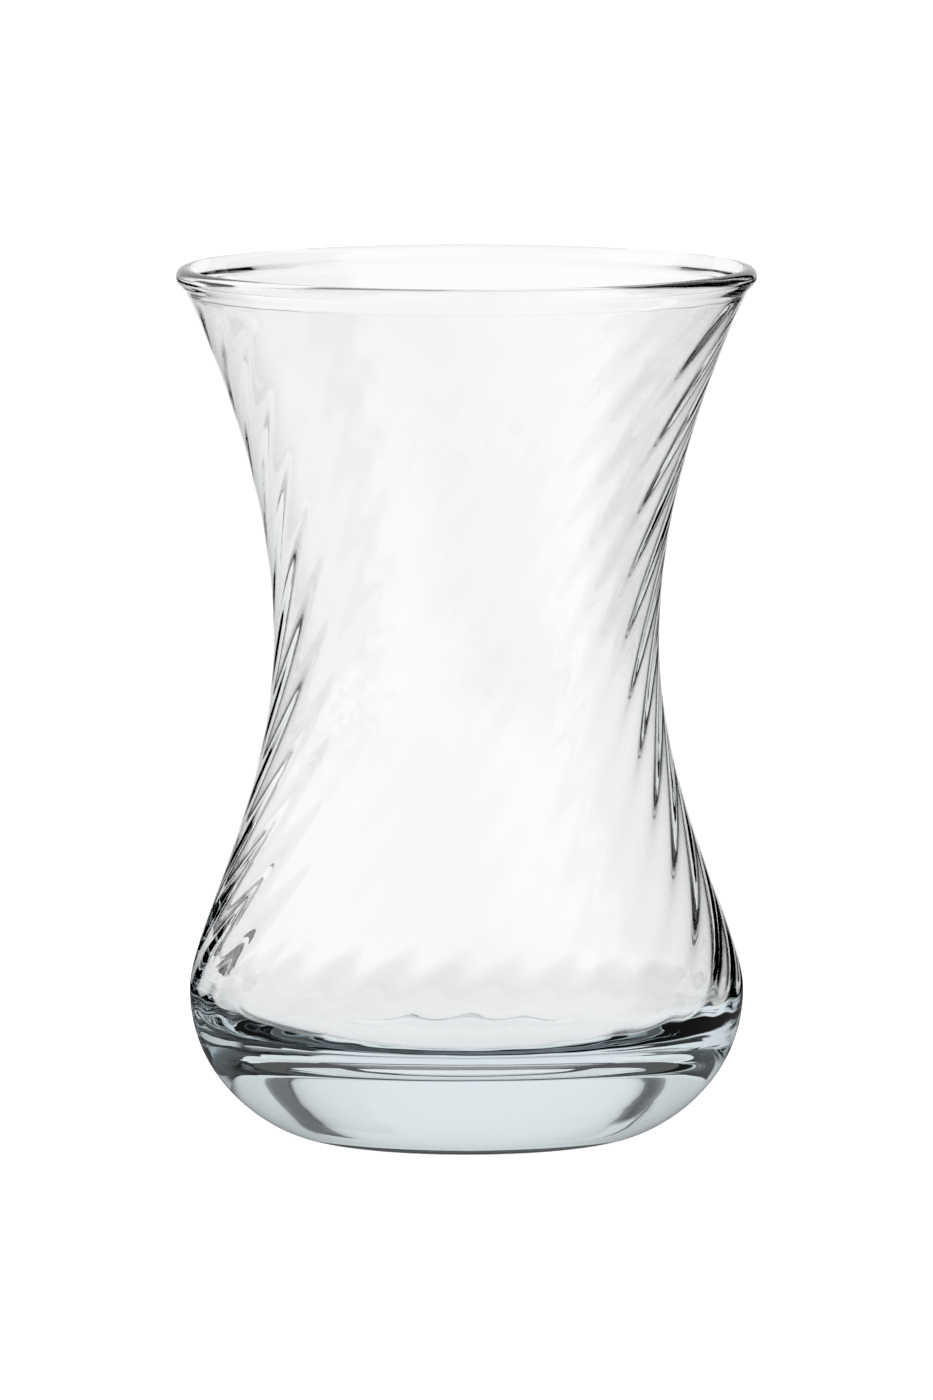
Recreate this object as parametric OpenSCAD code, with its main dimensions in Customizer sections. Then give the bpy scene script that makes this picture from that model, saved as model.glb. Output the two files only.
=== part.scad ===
// Curved tea glass, blown in one piece of clear glass, with twisted ribs inside its wall.
// Millimetres. The glass stands on z = 0 and its axis is the Z axis.

/* [Glass] */
// Height from the table to the top of the lip
glass_h = 90; // [80:0.5:110]
// Outer diameter across the lip
rim_d = 60; // [54:0.5:72]
// Outer diameter of the waist, the narrowest place
waist_d = 40; // [36:0.5:46]
// Height of the waist above the table
waist_z = 51.5; // [46:0.5:58]
// Outer diameter of the bulb, the widest place of the foot
bulb_d = 57.4; // [52:0.2:66]
// Height of the widest place of the foot
bulb_z = 15; // [12:0.2:18]

/* [Rim] */
// Thickness of the rounded lip
lip_t = 2; // [1.5:0.05:2.4]
// Lean of the wall under the lip, outwards from upright, in degrees
flare_angle = 25; // [15:1:32]

/* [Wall] */
// Thickness of the wall just under the lip
rim_wall = 1.2; // [0.9:0.05:1.3]
// Thickness of the wall at the waist
waist_wall = 1.7; // [1.3:0.05:2.4]
// Thickness of the wall in the bulb
bulb_wall = 2.4; // [1.8:0.05:3.2]
// Thickness of the solid glass floor
floor_t = 9.5; // [6:0.25:12]
// Height of the round corner between the floor and the wall
corner_h = 6; // [4:0.25:12]
// Width of that corner, inwards from the wall
corner_w = 8; // [6:0.25:16]

/* [Foot] */
// Outer diameter of the flat ring that the glass stands on
seat_d = 34; // [28:0.5:40]
// Width of that ring
seat_w = 3; // [2:0.25:5]
// Depth of the hollow under the foot, inside the ring
punt_depth = 0.8; // [0.4:0.1:1.5]

/* [Ribs] */
// Number of ribs around the inside
rib_count = 28; // [16:1:30]
// Height of a rib from its groove to its crest
rib_depth = 0.09; // [0.05:0.01:0.4]
// Height in which a rib would climb once around the glass
rib_lead = 190; // [140:5:400]
// Turn of the first rib about the axis, in degrees
rib_start = 0; // [0:0.5:15]
// Height above the floor in which the ribs grow
rib_rise = 9; // [4:0.5:14]
// Height below the lip in which the ribs fade out
rib_fade = 5; // [3:0.5:10]

/* [Hidden] */
$fn = 96;

// How far a cut runs past the face that it opens
overrun = 1;
// Handles of the outer curve, as shares of the height between the places that it joins
rim_handle_share = 0.2;
waist_up_share = 0.42;
waist_down_share = 0.46;
bulb_up_share = 0.17;
bulb_down_share = 0.7;
// Handle at the seat, as a share of the step from the seat out to the bulb
seat_handle_share = 0.18;
// Handles of the inner corner, as a share of its height and of its width
corner_share = 0.55;
// Points that each stretch of the outer curve is drawn with, and the hollow under the foot
curve_steps = 16;
punt_steps = 6;
// Rings of the inner surface: corner, wall below the waist, wall above it
corner_rings = 8;
lower_rings = 10;
upper_rings = 9;
// Points of the inner surface across one rib
rib_points = 6;

lip_r = lip_t / 2;
rim_r = rim_d / 2;
waist_r = waist_d / 2;
bulb_r = bulb_d / 2;
seat_r = seat_d / 2;
seat_in_r = seat_r - seat_w;
// Height and radius of the lip's round core, which the wall runs up to
core_z = glass_h - lip_r;
core_r = rim_r - lip_r;
// Half of the wall as a level cut through its lean shows it
rim_half = rim_wall / 2 / cos(flare_angle);
ring_points = rib_count * rib_points;

function bezier(p, t) =
    pow(1 - t, 3) * p[0] + 3 * t * pow(1 - t, 2) * p[1]
    + 3 * t * t * (1 - t) * p[2] + pow(t, 3) * p[3];
function along(p, n, first = 0) = [for (i = [first:n]) bezier(p, i / n)];
function up(d, angle = 0) = d * [sin(angle), cos(angle)];

// The four places that a curve of the glass passes, from the foot to the lip
function bulb_curve(low, bulb, low_handle) = [
    low,
    low + [(bulb[0] - low[0]) * low_handle, 0],
    bulb - up((bulb[1] - low[1]) * bulb_down_share),
    bulb];
function lower_curve(bulb, waist) = [
    bulb,
    bulb + up((waist[1] - bulb[1]) * bulb_up_share),
    waist - up((waist[1] - bulb[1]) * waist_down_share),
    waist];
function upper_curve(waist, rim) = [
    waist,
    waist + up((rim[1] - waist[1]) * waist_up_share),
    rim - up((rim[1] - waist[1]) * rim_handle_share, flare_angle),
    rim];

outer_bulb = [bulb_r, bulb_z];
outer_waist = [waist_r, waist_z];
outer_rim = [core_r + rim_half, core_z];

// The inner surface follows the outer one at the wall's thickness
inner_bulb = [bulb_r - bulb_wall, floor_t + corner_h];
inner_waist = [waist_r - waist_wall, waist_z];
inner_rim = [core_r - rim_half, core_z];
inner_corner = [
    inner_bulb - [corner_w, corner_h],
    inner_bulb - [corner_w * (1 - corner_share), corner_h],
    inner_bulb - up(corner_h * corner_share),
    inner_bulb];

inner_line = concat(
    along(inner_corner, corner_rings),
    along(lower_curve(inner_bulb, inner_waist), lower_rings, 1),
    along(upper_curve(inner_waist, inner_rim), upper_rings, 1));

// A rib grows from the floor up and dies out below the lip
function rib_strength(z) =
    min(1, (z - floor_t) / rib_rise) * min(1, max(0, (core_z - z) / rib_fade));
function rib_wave(i) = cos(360 * i / rib_points);
function ring(place) = [
    for (i = [0:ring_points - 1])
        let (
            turn = rib_start + 360 * (i / ring_points + place[1] / rib_lead),
            r = place[0] - rib_depth / 2 * rib_strength(place[1]) * rib_wave(i))
        [r * cos(turn), r * sin(turn), place[1]]];

// The hollow under the foot is a shallow dish
function dish(n) = [for (i = [0:n]) [seat_in_r * i / n, punt_depth * (1 - pow(i / n, 2))]];

module outer_form() {
    rotate_extrude()
        polygon(concat(
            dish(punt_steps),
            along(bulb_curve([seat_r, 0], outer_bulb, seat_handle_share), curve_steps),
            along(lower_curve(outer_bulb, outer_waist), curve_steps, 1),
            along(upper_curve(outer_waist, outer_rim), curve_steps, 1),
            [[0, core_z]]));
}

module ribbed_hollow() {
    rise = inner_rim + up(overrun, flare_angle);
    rings = concat([for (place = inner_line) ring(place)], [ring(rise)]);
    n = ring_points;
    last = len(rings) - 1;
    points = concat([for (one = rings) each one], [[0, 0, floor_t], [0, 0, rise[1]]]);
    floor_mid = len(points) - 2;
    top_mid = len(points) - 1;
    faces = concat(
        [for (k = [0:last - 1]) for (i = [0:n - 1])
            let (a = k * n + i, b = k * n + (i + 1) % n)
            each [[a, a + n, b], [b, a + n, b + n]]],
        [for (i = [0:n - 1]) [floor_mid, i, (i + 1) % n]],
        [for (i = [0:n - 1]) [top_mid, last * n + (i + 1) % n, last * n + i]]);
    polyhedron(points = points, faces = faces);
}

module lip() {
    rotate_extrude()
        translate([core_r, core_z])
            circle(r = lip_r, $fn = 32);
}

module tea_glass() {
    color([0.86, 0.92, 0.92, 0.45]) {
        difference() {
            outer_form();
            ribbed_hollow();
        }
        lip();
    }
}

tea_glass();
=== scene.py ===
"""Looks of the curved tea glass: clear glass with twisted ribs inside, on a pale floor in soft light."""

import math

import bpy
import numpy as np
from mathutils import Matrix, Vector

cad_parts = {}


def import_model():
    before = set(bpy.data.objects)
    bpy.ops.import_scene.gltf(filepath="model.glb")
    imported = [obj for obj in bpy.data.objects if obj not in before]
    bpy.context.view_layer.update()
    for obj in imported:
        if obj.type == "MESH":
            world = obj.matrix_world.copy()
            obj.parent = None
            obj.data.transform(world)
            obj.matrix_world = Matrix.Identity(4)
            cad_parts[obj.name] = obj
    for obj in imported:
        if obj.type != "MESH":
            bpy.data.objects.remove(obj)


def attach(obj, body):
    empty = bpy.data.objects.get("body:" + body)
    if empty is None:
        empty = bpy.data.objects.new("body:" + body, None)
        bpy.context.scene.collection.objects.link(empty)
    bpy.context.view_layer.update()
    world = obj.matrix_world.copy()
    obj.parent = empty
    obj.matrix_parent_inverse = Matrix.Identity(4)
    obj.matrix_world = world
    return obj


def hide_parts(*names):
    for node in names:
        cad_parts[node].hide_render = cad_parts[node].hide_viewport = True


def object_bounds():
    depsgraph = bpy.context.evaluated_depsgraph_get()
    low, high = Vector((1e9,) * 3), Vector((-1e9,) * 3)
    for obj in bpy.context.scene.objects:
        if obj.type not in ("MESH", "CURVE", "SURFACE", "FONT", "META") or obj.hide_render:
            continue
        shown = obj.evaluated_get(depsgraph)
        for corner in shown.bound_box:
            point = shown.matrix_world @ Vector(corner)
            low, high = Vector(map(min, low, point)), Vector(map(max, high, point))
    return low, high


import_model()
cad_low, cad_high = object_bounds()

MM = 0.001

# Sizes of the glass, in metres. Its height and its width across the lip come from the frame.
GLASS_H = cad_high[2]
RIM_R = cad_high[0]
WAIST_R = 20 * MM
WAIST_Z = 51.5 * MM
BULB_R = 28.7 * MM
BULB_Z = 15 * MM
LIP_R = 1.0 * MM
RIM_WALL = 1.2 * MM
WAIST_WALL = 1.7 * MM
BULB_WALL = 2.4 * MM
FLOOR_T = 9.5 * MM
CORNER_H = 6 * MM
CORNER_W = 8 * MM
SEAT_R = 17 * MM
SEAT_IN_R = 14 * MM
PUNT_DEPTH = 0.8 * MM
FLARE = math.radians(25)
# The bead at the lip swells out of the wall over this length
BEAD_LENGTH = 0.9 * MM

# Ribs: how many, half of their height, the height in which one climbs once around, and the turn of the
# first
RIB_COUNT = 28
RIB_HALF = 0.045 * MM
RIB_LEAD = 190 * MM
RIB_START = math.radians(0)
# Height above the floor in which the ribs grow, and below the lip in which they fade out
RIB_RISE = 9 * MM
RIB_FADE = 5 * MM

# Handles of the curves, as shares of the stretch that they shape
RIM_HANDLE_SHARE = 0.2
WAIST_UP_SHARE = 0.42
WAIST_DOWN_SHARE = 0.46
BULB_UP_SHARE = 0.17
BULB_DOWN_SHARE = 0.7
SEAT_HANDLE_SHARE = 0.18
CORNER_SHARE = 0.55

# Rows of the mesh along each stretch of the section, and columns across one rib
DISH_ROWS = 10
SEAT_ROWS = 4
HEEL_ROWS = 40
LOWER_ROWS = 34
UPPER_ROWS = 44
LIP_ROWS = 22
RIM_END_ROWS = 3
INNER_UPPER_ROWS = 48
INNER_LOWER_ROWS = 40
CORNER_ROWS = 36
FLOOR_ROWS = 10
RIB_COLUMNS = 12

# The glass: how it bends light, what its depth takes away, and what share of light its shadow lets by
GLASS_IOR = 1.52
GLASS_TINT = (0.76, 0.84, 0.87, 1.0)
TINT_DENSITY = 20.0
SHADOW_CLEAR = (0.95, 0.95, 0.95, 1.0)
# Its fire-polish waves: how fine they are, how much of that fineness they have sideways, and their height
WAVE_SCALE = 180.0
WAVE_SIDEWAYS = 0.25
WAVE_HEIGHT = 0.04 * MM

# The camera, as the outline of the glass in the photograph sets it
IMAGE_H = 1400
LENS_PIXELS = 13132.0
CAMERA_DISTANCE = 1.350
CAMERA_PITCH = math.radians(6.524)
GLASS_MIDDLE = GLASS_H / 2

# The floor: half of its side, its paint, and the strength of a painted glow that lifts it to white where
# the camera sees it, near the glass and far off. The glow is weaker near the glass, which paints the floor
# there a little darker, so that its shadow shows
FLOOR_HALF = 6.0
FLOOR_PAINT = (0.8, 0.8, 0.8, 1.0)
FLOOR_ROUGHNESS = 0.9
LIFT_NEAR, LIFT_NEAR_R = 0.55, 0.05
LIFT_FAR, LIFT_FAR_R = 1.0, 0.9
# The lamp: its place, the side of its square, and its power
KEY_PLACE = (-0.5, -0.4, 1.2)
KEY_SIZE = 1.0
KEY_POWER = 12.0
# The share of the white sky that lights the floor
SKY_ON_FLOOR = 0.5
# How often light is followed on: it is mirrored many times inside the thick foot
ALL_BOUNCES = 24
MIRROR_BOUNCES = 16
BEND_BOUNCES = 20

# The studio that the glass bends and mirrors: glowing painted light and shade, seen only in the glass, in
# levels from black 0 to white 1. Bent light first: the floor's painted shade at the foot, and the sky's
# level
PAINTED_FOOT_SHADE = 0.85
SKY_IN_GLASS = 0.6
# Distances from the glass where the floor leaves its painted shade at the foot, where it has reached the
# near panels, where it leaves them, and where it has reached the far ones
FOOT_SHADE_R = 0.030
FOOT_CLEAR_R = 0.08
FLOOR_WHITE_R = 0.24
FLOOR_DARK_R = 0.32
# Mirrored light: the floor's painted shade at and under the foot, the sky's level, and the distances where
# the floor leaves that painted shade and where it has reached the mirrored panels
MIRRORED_FOOT_SHADE = 0.1
MIRRORED_SKY = 0.85
MIRROR_FOOT_R = 0.07
MIRROR_CLEAR_R = 0.15
# The round studio wall, which glows with painted light and shade that only the glass shows: its radius
# and height, and the heights where the low panels end, where the high ones begin, where those end, and
# where the sky's level begins
WALL_R = 0.45
WALL_H = 0.6
LOW_PANEL_TOP = 0.05
HIGH_PANEL_FROM = 0.08
WALL_DARK_TOP = 0.25
WALL_PALE_FROM = 0.50
WALL_COLUMNS = 97
# Panels of painted light and shade: stops of direction in degrees, from +Y towards +X, and level
LOW_PANELS = [
    (-180, 0.45), (-140, 0.45), (-110, 1.0), (-74, 1.0), (-68, 0.0), (-36, 0.0), (-31, 1.0),
    (36, 1.0), (39, 0.0), (104, 0.0), (116, 1.0), (152, 1.0), (172, 0.45), (180, 0.45)]
HIGH_PANELS = [
    (-180, 0.4), (-140, 0.4), (-112, 1.0), (-82, 1.0), (-76, 0.0), (-54, 0.0), (-47, 1.0),
    (36, 1.0), (39, 0.0), (118, 0.0), (128, 1.0), (152, 1.0), (172, 0.4), (180, 0.4)]
FLOOR_PANELS = [
    (-180, 0.45), (-140, 0.45), (-110, 1.0), (-74, 1.0), (-68, 0.0), (-42, 0.0), (-38, 1.0),
    (36, 1.0), (39, 0.0), (104, 0.0), (116, 1.0), (152, 1.0), (172, 0.45), (180, 0.45)]
NEAR_FLOOR_PANELS = [
    (-180, 0.8), (-165, 0.2), (-112, 0.2), (-100, 1.0), (40, 1.0), (60, 0.3), (80, 0.1),
    (106, 0.1), (116, 1.0), (155, 1.0), (180, 0.8)]
MIRRORED_PANELS = [
    (-180, 0.5), (-162, 0.7), (-150, 0.95), (-84, 0.95), (-66, 0.0), (-22, 0.0), (-12, 0.95),
    (12, 0.95), (20, 0.0), (82, 0.0), (100, 0.8), (130, 0.6), (180, 0.5)]
# Cards nearer to the glass that glow with panels of painted dark and light, seen only in the glass: name,
# radius, lowest and highest point, first and last direction, and panels
CARDS = [
    ("card_right", 0.09, 0.012, 0.20, 39, 116, [(39, 0.0), (107, 0.0), (116, 0.6)]),
    ("card_right_foot", 0.09, 0.0, 0.012, 39, 116, [(39, 0.0), (54, 0.0), (62, 0.8), (116, 0.8)]),
    ("card_left", 0.29, 0.0, 0.055, -70, -37, [(-70, 0.0), (-37, 0.0)])]
# A black card of painted dark, seen only in the glass, that stands end-on to it: direction, nearest and
# farthest point, lowest and highest point
SIDE_CARD = (-40, 0.055, 0.10, 0.008, 0.026)


def bezier(points, count):
    """Cubic curve through the first and last of four points, as count rows of (radius, height)."""
    t = np.linspace(0, 1, count)[:, None]
    a, b, c, d = (np.asarray(p, float) for p in points)
    return (1 - t) ** 3 * a + 3 * t * (1 - t) ** 2 * b + 3 * t * t * (1 - t) * c + t**3 * d


def up(length, lean=0.0):
    """A step of that length upwards, leaning outwards by lean."""
    return length * np.array([math.sin(lean), math.cos(lean)])


def heel(low, bulb, count):
    """From the seat, level at first, round to the bulb, upright at the end."""
    return bezier(
        [low,
         low + np.array([(bulb[0] - low[0]) * SEAT_HANDLE_SHARE, 0]),
         bulb - up((bulb[1] - low[1]) * BULB_DOWN_SHARE),
         bulb], count)


def lower_wall(bulb, waist, count):
    """From the bulb to the waist, upright at both."""
    rise = waist[1] - bulb[1]
    return bezier(
        [bulb, bulb + up(rise * BULB_UP_SHARE), waist - up(rise * WAIST_DOWN_SHARE), waist], count)


def upper_wall(waist, rim, count):
    """From the upright waist to the leaning rim."""
    rise = rim[1] - waist[1]
    return bezier(
        [waist, waist + up(rise * WAIST_UP_SHARE), rim - up(rise * RIM_HANDLE_SHARE, FLARE), rim],
        count)


def beaded(wall, core, side):
    """The wall near the lip, pushed out sideways by a bell curve of its distance from the lip's core."""
    down = -up(1.0, FLARE)
    out = side * np.array([math.cos(FLARE), -math.sin(FLARE)])
    distance = (wall - core) @ down
    swell = (LIP_R - RIM_WALL / 2) * np.exp(-((distance / BEAD_LENGTH) ** 2))
    return (wall + swell[:, None] * out)[distance > 0]


def section():
    """The glass's section from the middle of the dished foot, round outside and over the lip, to the
    middle of the floor. Gives rows of (radius, height), and how strong the ribs are in each row."""
    core = np.array([RIM_R - LIP_R, GLASS_H - LIP_R])
    rim_half = np.array([RIM_WALL / 2 / math.cos(FLARE), 0])
    bulb = np.array([BULB_R, BULB_Z])
    waist = np.array([WAIST_R, WAIST_Z])
    inner_bulb = np.array([BULB_R - BULB_WALL, FLOOR_T + CORNER_H])
    inner_waist = np.array([WAIST_R - WAIST_WALL, WAIST_Z])
    share = np.linspace(0, 1, DISH_ROWS)
    dish = np.stack([SEAT_IN_R * share, PUNT_DEPTH * (1 - share**2)], 1)
    seat = np.stack([np.linspace(SEAT_IN_R, SEAT_R, SEAT_ROWS), np.zeros(SEAT_ROWS)], 1)
    outer = [dish, seat[1:], heel(seat[-1], bulb, HEEL_ROWS)[1:],
             lower_wall(bulb, waist, LOWER_ROWS)[1:],
             beaded(upper_wall(waist, core + rim_half, UPPER_ROWS)[1:], core, 1)]
    turn = np.linspace(-FLARE, math.pi - FLARE, LIP_ROWS)
    lip = core + LIP_R * np.stack([np.cos(turn), np.sin(turn)], 1)
    rim_end = np.linspace(core - np.array([math.cos(FLARE), -math.sin(FLARE)]) * RIM_WALL / 2,
                          core - rim_half, RIM_END_ROWS)
    inner = np.concatenate(
        [rim_end[1:-1], upper_wall(inner_waist, core - rim_half, INNER_UPPER_ROWS)[::-1]])
    inner = beaded(inner, core, -1)
    corner = bezier(
        [inner_bulb - np.array([CORNER_W, CORNER_H]),
         inner_bulb - np.array([CORNER_W * (1 - CORNER_SHARE), CORNER_H]),
         inner_bulb - up(CORNER_H * CORNER_SHARE),
         inner_bulb], CORNER_ROWS)[::-1]
    floor = np.stack([np.linspace(corner[-1, 0], 0, FLOOR_ROWS), np.full(FLOOR_ROWS, FLOOR_T)], 1)
    inside = [inner, lower_wall(inner_bulb, inner_waist, INNER_LOWER_ROWS)[::-1][1:], corner[1:],
              floor[1:]]
    rows = np.concatenate(outer + [lip] + inside)
    is_inside = np.arange(len(rows)) >= sum(len(part) for part in outer) + len(lip)
    z = rows[:, 1]
    low_end = np.clip((z - FLOOR_T) / RIB_RISE, 0, 1)
    high_end = np.clip((core[1] - z) / RIB_FADE, 0, 1)
    strength = np.where(is_inside, low_end, 0) * high_end
    return rows, strength


def glass_mesh(name):
    """The section turned about Z. Each row turns on by its height over the ribs' lead, so that the
    columns follow the ribs, and a ribbed row's radius is less by a cosine that repeats rib by rib."""
    rows, strength = section()
    columns = RIB_COUNT * RIB_COLUMNS
    step = np.arange(columns) / columns
    angle = RIB_START + 2 * math.pi * (step[None, :] + rows[:, 1:2] / RIB_LEAD)
    wave = np.cos(2 * math.pi * RIB_COUNT * step)[None, :]
    radius = rows[:, :1] - RIB_HALF * strength[:, None] * wave
    height = np.repeat(rows[:, 1:2], columns, 1)
    grid = np.stack([radius * np.cos(angle), radius * np.sin(angle), height], 2)
    body = grid[1:-1].reshape(-1, 3)
    poles = np.array([[0, 0, rows[0, 1]], [0, 0, rows[-1, 1]]])
    ring = np.arange(columns)
    after = (ring + 1) % columns
    starts = np.arange(len(rows) - 3)[:, None] * columns
    a, b = (starts + ring).ravel(), (starts + after).ravel()
    quads = np.stack([a, b, b + columns, a + columns], 1)
    foot = np.stack([np.full(columns, len(body)), after, ring], 1)
    last = len(body) - columns
    floor = np.stack([np.full(columns, len(body) + 1), last + ring, last + after], 1)
    mesh = bpy.data.meshes.new(name)
    mesh.from_pydata(np.concatenate([body, poles]).tolist(), [],
                     quads.tolist() + foot.tolist() + floor.tolist())
    mesh.shade_smooth()
    return mesh


def add(name, mesh):
    """An object at the origin that shows the mesh."""
    piece = bpy.data.objects.new(name, mesh)
    bpy.context.scene.collection.objects.link(piece)
    return piece


def node_material(name):
    """A new material, its nodes, and the call that links them."""
    material = bpy.data.materials.new(name)
    material.use_nodes = True
    return material, material.node_tree.nodes, material.node_tree.links.new


def node_group(name, enters, enter_type, leaves):
    """A new node group with one socket in and one number out, its nodes, the call that links them, and
    those two sockets."""
    group = bpy.data.node_groups.new(name, "ShaderNodeTree")
    group.interface.new_socket(enters, in_out="INPUT", socket_type=enter_type)
    group.interface.new_socket(leaves, in_out="OUTPUT", socket_type="NodeSocketFloat")
    nodes = group.nodes
    enter = nodes.new("NodeGroupInput").outputs[enters]
    leave = nodes.new("NodeGroupOutput").inputs[leaves]
    return group, nodes, group.links.new, enter, leave


def eased(nodes, link, value, start, end):
    """0 up to start, 1 from end, and a smooth step between."""
    step = nodes.new("ShaderNodeMapRange")
    step.interpolation_type = "SMOOTHSTEP"
    step.inputs["From Min"].default_value = start
    step.inputs["From Max"].default_value = end
    link(value, step.inputs["Value"])
    return step.outputs["Result"]


def blended(nodes, link, factor, low, high):
    """Mix of two levels, each a socket or a number."""
    mix = nodes.new("ShaderNodeMix")
    mix.data_type = "FLOAT"
    link(factor, mix.inputs["Factor"])
    for socket, level in ((mix.inputs["A"], low), (mix.inputs["B"], high)):
        if isinstance(level, float):
            socket.default_value = level
        else:
            link(level, socket)
    return mix.outputs["Result"]


def either(nodes, link, one, other):
    """1 where one of two ray kinds is 1."""
    largest = nodes.new("ShaderNodeMath")
    largest.operation = "MAXIMUM"
    link(one, largest.inputs[0])
    link(other, largest.inputs[1])
    return largest.outputs["Value"]


def mixed(nodes, link, factor, first, second):
    """Shows the first shader where the factor is 0 and the second where it is 1."""
    mix = nodes.new("ShaderNodeMixShader")
    link(factor, mix.inputs["Fac"])
    link(first, mix.inputs[1])
    link(second, mix.inputs[2])
    link(mix.outputs["Shader"], nodes["Material Output"].inputs["Surface"])


def ripple_group():
    """Faint waves of fire-polished glass: long level swells and a little fine unevenness."""
    group, nodes, link, scale, height = node_group("Fire polish", "Scale", "NodeSocketFloat", "Height")
    place = nodes.new("ShaderNodeTexCoord")
    stretch = nodes.new("ShaderNodeMapping")
    stretch.inputs["Scale"].default_value = (WAVE_SIDEWAYS, WAVE_SIDEWAYS, 1.0)
    noise = nodes.new("ShaderNodeTexNoise")
    link(place.outputs["Object"], stretch.inputs["Vector"])
    link(stretch.outputs["Vector"], noise.inputs["Vector"])
    link(scale, noise.inputs["Scale"])
    link(noise.outputs["Fac"], height)
    return group


def panels_group(name, levels):
    """Level of painted light and shade by direction about the glass, from +Y towards +X, eased between the
    given stops.
    """
    group, nodes, link, place, level = node_group(name, "Place", "NodeSocketVector", "Level")
    parts = nodes.new("ShaderNodeSeparateXYZ")
    turn = nodes.new("ShaderNodeMath")
    turn.operation = "ARCTAN2"
    share = nodes.new("ShaderNodeMapRange")
    share.inputs["From Min"].default_value = -math.pi
    share.inputs["From Max"].default_value = math.pi
    ramp = nodes.new("ShaderNodeValToRGB")
    ramp.color_ramp.interpolation = "EASE"
    stops = ramp.color_ramp.elements
    while len(stops) < len(levels):
        stops.new(1.0)
    for stop, (direction, grey) in zip(stops, levels):
        stop.position = (direction + 180) / 360
        stop.color = (grey, grey, grey, 1.0)
    link(place, parts.inputs["Vector"])
    link(parts.outputs["X"], turn.inputs[0])
    link(parts.outputs["Y"], turn.inputs[1])
    link(turn.outputs["Value"], share.inputs["Value"])
    link(share.outputs["Result"], ramp.inputs["Fac"])
    link(ramp.outputs["Color"], level)
    return group


def panel_level(nodes, link, place, name, levels):
    """Places the panels group of that name at the given coordinates, and makes it first if needed."""
    panels = nodes.new("ShaderNodeGroup")
    panels.node_tree = bpy.data.node_groups.get(name) or panels_group(name, levels)
    link(place, panels.inputs["Place"])
    return panels.outputs["Level"]


def glass_material():
    """Clear soda-lime glass, faintly blue-green where it is thick. Light passes on to the floor."""
    material, nodes, link = node_material("clear_glass")
    glass = nodes["Principled BSDF"]
    glass.inputs["Base Color"].default_value = (1.0, 1.0, 1.0, 1.0)
    glass.inputs["Roughness"].default_value = 0.0
    glass.inputs["IOR"].default_value = GLASS_IOR
    glass.inputs["Transmission Weight"].default_value = 1.0
    waves = nodes.new("ShaderNodeGroup")
    waves.node_tree = ripple_group()
    waves.inputs["Scale"].default_value = WAVE_SCALE
    bump = nodes.new("ShaderNodeBump")
    bump.inputs["Distance"].default_value = WAVE_HEIGHT
    link(waves.outputs["Height"], bump.inputs["Height"])
    link(bump.outputs["Normal"], glass.inputs["Normal"])
    clear = nodes.new("ShaderNodeBsdfTransparent")
    clear.inputs["Color"].default_value = SHADOW_CLEAR
    rays = nodes.new("ShaderNodeLightPath").outputs
    mixed(nodes, link, rays["Is Shadow Ray"], glass.outputs["BSDF"], clear.outputs["BSDF"])
    tint = nodes.new("ShaderNodeVolumeAbsorption")
    tint.inputs["Color"].default_value = GLASS_TINT
    tint.inputs["Density"].default_value = TINT_DENSITY
    link(tint.outputs["Volume"], nodes["Material Output"].inputs["Volume"])
    return material


def floor_material():
    """Pale floor that keeps the shadow. A painted glow lifts it to white for what the camera sees of it.
    What the glass bends or mirrors of it glows instead with the studio's painted light and shade, and
    with painted shade round the foot."""
    material, nodes, link = node_material("floor")
    paint = nodes["Principled BSDF"]
    paint.inputs["Base Color"].default_value = FLOOR_PAINT
    paint.inputs["Roughness"].default_value = FLOOR_ROUGHNESS
    paint.inputs["Specular IOR Level"].default_value = 0.0
    paint.inputs["Emission Color"].default_value = (1.0, 1.0, 1.0, 1.0)
    rays = nodes.new("ShaderNodeLightPath").outputs
    place = nodes.new("ShaderNodeTexCoord").outputs["Object"]
    away = nodes.new("ShaderNodeVectorMath")
    away.operation = "LENGTH"
    link(place, away.inputs[0])
    out = away.outputs["Value"]
    # Painted glow for the camera: weaker near the glass, as painted shade round it, and white far off
    fade = nodes.new("ShaderNodeMapRange")
    fade.inputs["From Min"].default_value = LIFT_NEAR_R
    fade.inputs["From Max"].default_value = LIFT_FAR_R
    fade.inputs["To Min"].default_value = LIFT_NEAR
    fade.inputs["To Max"].default_value = LIFT_FAR
    link(out, fade.inputs["Value"])
    lift = blended(nodes, link, rays["Is Camera Ray"], 0.0, fade.outputs["Result"])
    link(lift, paint.inputs["Emission Strength"])

    # What the glass bends of the floor: painted shade at the foot, then near and far panels of painted
    # light and shade. What it mirrors: painted shade under the foot, then the mirrored panels
    near_panels = panel_level(nodes, link, place, "Near floor panels", NEAR_FLOOR_PANELS)
    far_panels = panel_level(nodes, link, place, "Floor panels", FLOOR_PANELS)
    near = blended(nodes, link, eased(nodes, link, out, FOOT_SHADE_R, FOOT_CLEAR_R),
                   PAINTED_FOOT_SHADE, near_panels)
    bent = blended(nodes, link, eased(nodes, link, out, FLOOR_WHITE_R, FLOOR_DARK_R),
                   near, far_panels)
    mirrored = blended(nodes, link, eased(nodes, link, out, MIRROR_FOOT_R, MIRROR_CLEAR_R),
                       MIRRORED_FOOT_SHADE,
                       panel_level(nodes, link, place, "Mirrored panels", MIRRORED_PANELS))
    glow = nodes.new("ShaderNodeEmission")
    link(blended(nodes, link, rays["Is Transmission Ray"], mirrored, bent), glow.inputs["Color"])
    in_glass = either(nodes, link, rays["Is Transmission Ray"], rays["Is Glossy Ray"])
    mixed(nodes, link, in_glass, paint.outputs["BSDF"], glow.outputs["Emission"])
    return material


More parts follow.
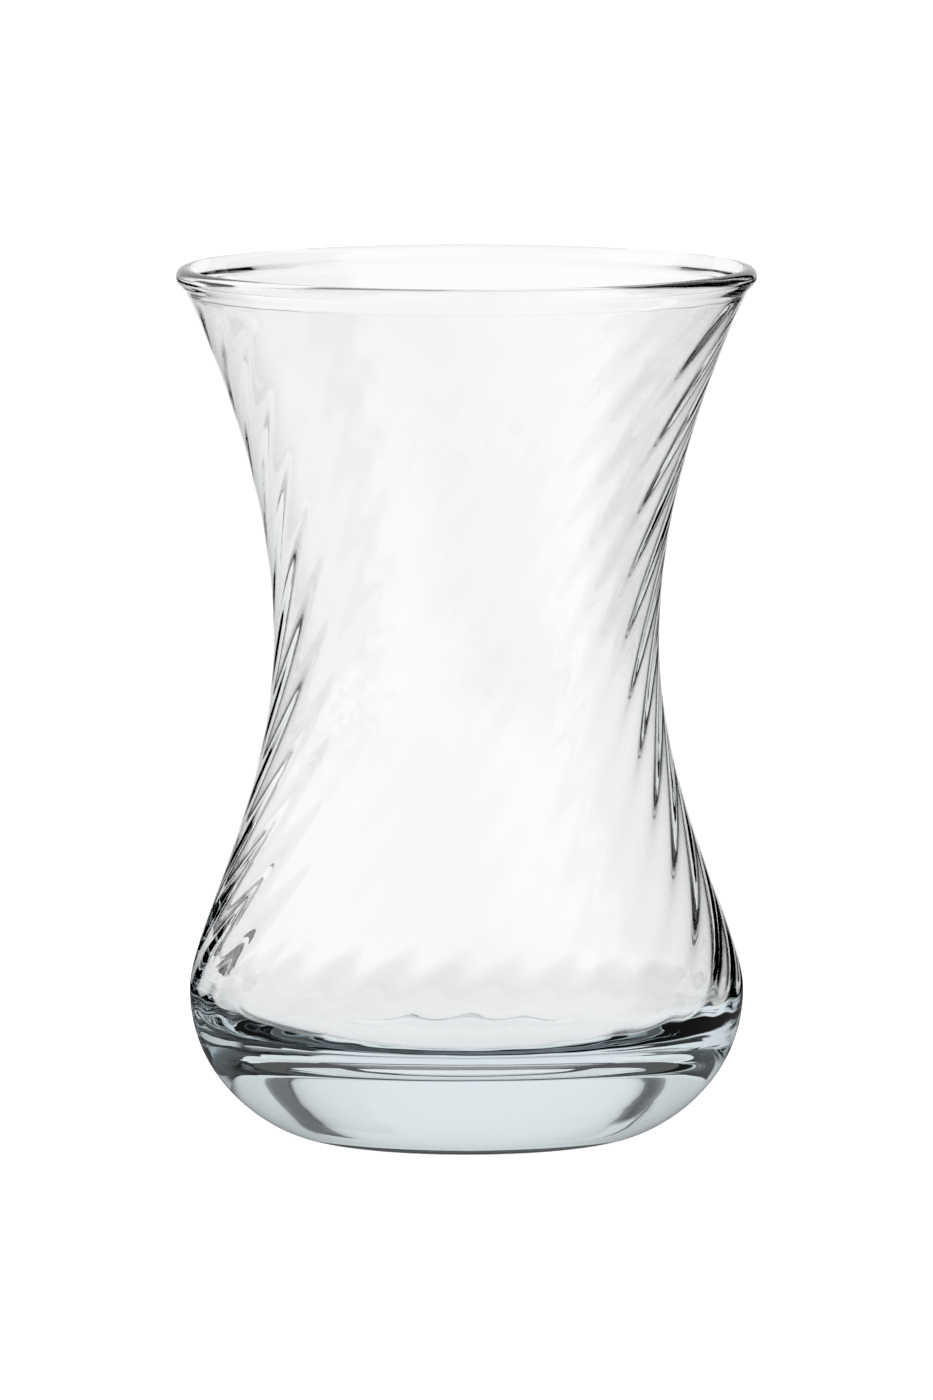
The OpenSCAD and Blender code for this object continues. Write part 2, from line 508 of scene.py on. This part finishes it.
def surround_material():
    """Studio walls that glow with soft panels of painted light and shade, from white to black, by their
    direction about the glass. The lowest strip has panels of its own, and the top pales to the sky's
    level."""
    material, nodes, link = node_material("studio_walls")
    place = nodes.new("ShaderNodeTexCoord").outputs["Object"]
    parts = nodes.new("ShaderNodeSeparateXYZ")
    link(place, parts.inputs["Vector"])
    z = parts.outputs["Z"]
    above_low = eased(nodes, link, z, LOW_PANEL_TOP, HIGH_PANEL_FROM)
    panels = blended(nodes, link, above_low,
                     panel_level(nodes, link, place, "Low panels", LOW_PANELS),
                     panel_level(nodes, link, place, "High panels", HIGH_PANELS))
    bent = blended(nodes, link, eased(nodes, link, z, WALL_DARK_TOP, WALL_PALE_FROM),
                   panels, SKY_IN_GLASS)
    mirrored = blended(nodes, link, above_low,
                       panel_level(nodes, link, place, "Mirrored panels", MIRRORED_PANELS),
                       MIRRORED_SKY)
    rays = nodes.new("ShaderNodeLightPath").outputs
    glow = nodes.new("ShaderNodeEmission")
    link(blended(nodes, link, rays["Is Transmission Ray"], mirrored, bent), glow.inputs["Color"])
    link(glow.outputs["Emission"], nodes["Material Output"].inputs["Surface"])
    return material


def card_material(name, levels):
    """A card that glows with its own panels of painted dark and light."""
    material, nodes, link = node_material(name)
    place = nodes.new("ShaderNodeTexCoord").outputs["Object"]
    glow = nodes.new("ShaderNodeEmission")
    link(panel_level(nodes, link, place, name, levels), glow.inputs["Color"])
    link(glow.outputs["Emission"], nodes["Material Output"].inputs["Surface"])
    return material


def side_card_material():
    """Painted black from one side, and not there from the other."""
    material, nodes, link = node_material("side_card")
    face = nodes.new("ShaderNodeNewGeometry")
    black = nodes.new("ShaderNodeEmission")
    black.inputs["Strength"].default_value = 0.0
    gone = nodes.new("ShaderNodeBsdfTransparent")
    mixed(nodes, link, face.outputs["Backfacing"], black.outputs["Emission"], gone.outputs["BSDF"])
    return material


def unseen(name, points, faces, material):
    """Adds a wall or card that stays out of the picture: only what the glass bends or mirrors shows it."""
    mesh = bpy.data.meshes.new(name)
    mesh.from_pydata(points, [], faces)
    mesh.materials.append(material)
    wall = add(name, mesh)
    wall.visible_camera = False
    wall.visible_diffuse = False
    wall.visible_shadow = False


def side_card(direction, near, far, bottom, top):
    """A card that stands upright along one direction from the glass."""
    turn = math.radians(direction)
    x, y = math.sin(turn), math.cos(turn)
    unseen("side_card",
           [(far * x, far * y, bottom), (near * x, near * y, bottom),
            (near * x, near * y, top), (far * x, far * y, top)],
           [(0, 1, 2, 3)], side_card_material())


def standing_wall(name, radius, bottom, top, start, end, material):
    """An upright wall, bent to an arc about the glass from one direction to another, in degrees from +Y
    towards +X."""
    turn = np.radians(np.linspace(start, end, WALL_COLUMNS))
    low = np.stack([radius * np.sin(turn), radius * np.cos(turn), np.full(WALL_COLUMNS, bottom)], 1)
    points = np.concatenate([low, low + np.array([0, 0, top - bottom])])
    i = np.arange(WALL_COLUMNS - 1)
    faces = np.stack([i, i + 1, i + 1 + WALL_COLUMNS, i + WALL_COLUMNS], 1)
    unseen(name, points.tolist(), faces.tolist(), material)


def world():
    """White behind everything that the camera sees, and soft grey light on the rest."""
    sky = bpy.data.worlds.new("soft_studio")
    bpy.context.scene.world = sky
    sky.use_nodes = True
    nodes, link = sky.node_tree.nodes, sky.node_tree.links.new
    soft = nodes["Background"]
    soft.inputs["Color"].default_value = (1.0, 1.0, 1.0, 1.0)
    rays = nodes.new("ShaderNodeLightPath").outputs
    seen = blended(nodes, link, rays["Is Diffuse Ray"], 1.0, SKY_ON_FLOOR)
    in_glass = either(nodes, link, rays["Is Transmission Ray"], rays["Is Glossy Ray"])
    link(blended(nodes, link, in_glass, seen, SKY_IN_GLASS), soft.inputs["Strength"])


def softbox(name, place, size, power):
    """A square area lamp aimed at the middle of the glass, not seen itself."""
    lamp = bpy.data.lights.new(name, "AREA")
    lamp.shape = "SQUARE"
    lamp.size = size
    lamp.energy = power
    holder = bpy.data.objects.new(name, lamp)
    bpy.context.scene.collection.objects.link(holder)
    holder.location = place
    aim = Vector((0, 0, GLASS_MIDDLE)) - Vector(place)
    holder.rotation_euler = aim.to_track_quat("-Z", "Y").to_euler()
    holder.visible_camera = False
    holder.visible_glossy = False
    holder.visible_transmission = False


def camera():
    """Looks slightly down at the middle of the glass from the front."""
    data = bpy.data.cameras.new("camera")
    data.sensor_fit = "VERTICAL"
    data.angle = 2 * math.atan(IMAGE_H / 2 / LENS_PIXELS)
    holder = bpy.data.objects.new("camera", data)
    bpy.context.scene.collection.objects.link(holder)
    height = GLASS_MIDDLE + CAMERA_DISTANCE * math.tan(CAMERA_PITCH)
    holder.location = (0, -CAMERA_DISTANCE, height)
    holder.rotation_euler = (math.pi / 2 - CAMERA_PITCH, 0, 0)
    bpy.context.scene.camera = holder


camera()
bpy.context.scene.view_settings.view_transform = "Standard"
bpy.context.scene.cycles.max_bounces = ALL_BOUNCES
bpy.context.scene.cycles.glossy_bounces = MIRROR_BOUNCES
bpy.context.scene.cycles.transmission_bounces = BEND_BOUNCES

tea_glass = add("glass_body", glass_mesh("glass_body"))
tea_glass.data.materials.append(glass_material())
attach(tea_glass, "root")
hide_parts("tea_glass")

world()
floor_mesh = bpy.data.meshes.new("floor")
floor_mesh.from_pydata(
    [(-FLOOR_HALF, -FLOOR_HALF, 0), (FLOOR_HALF, -FLOOR_HALF, 0),
     (FLOOR_HALF, FLOOR_HALF, 0), (-FLOOR_HALF, FLOOR_HALF, 0)], [], [(0, 1, 2, 3)])
floor_mesh.materials.append(floor_material())
add("floor", floor_mesh)

standing_wall("studio_walls", WALL_R, 0.0, WALL_H, -180, 180, surround_material())
for name, radius, bottom, top, start, end, levels in CARDS:
    standing_wall(name, radius, bottom, top, start, end, card_material(name, levels))
side_card(*SIDE_CARD)
softbox("key", KEY_PLACE, KEY_SIZE, KEY_POWER)
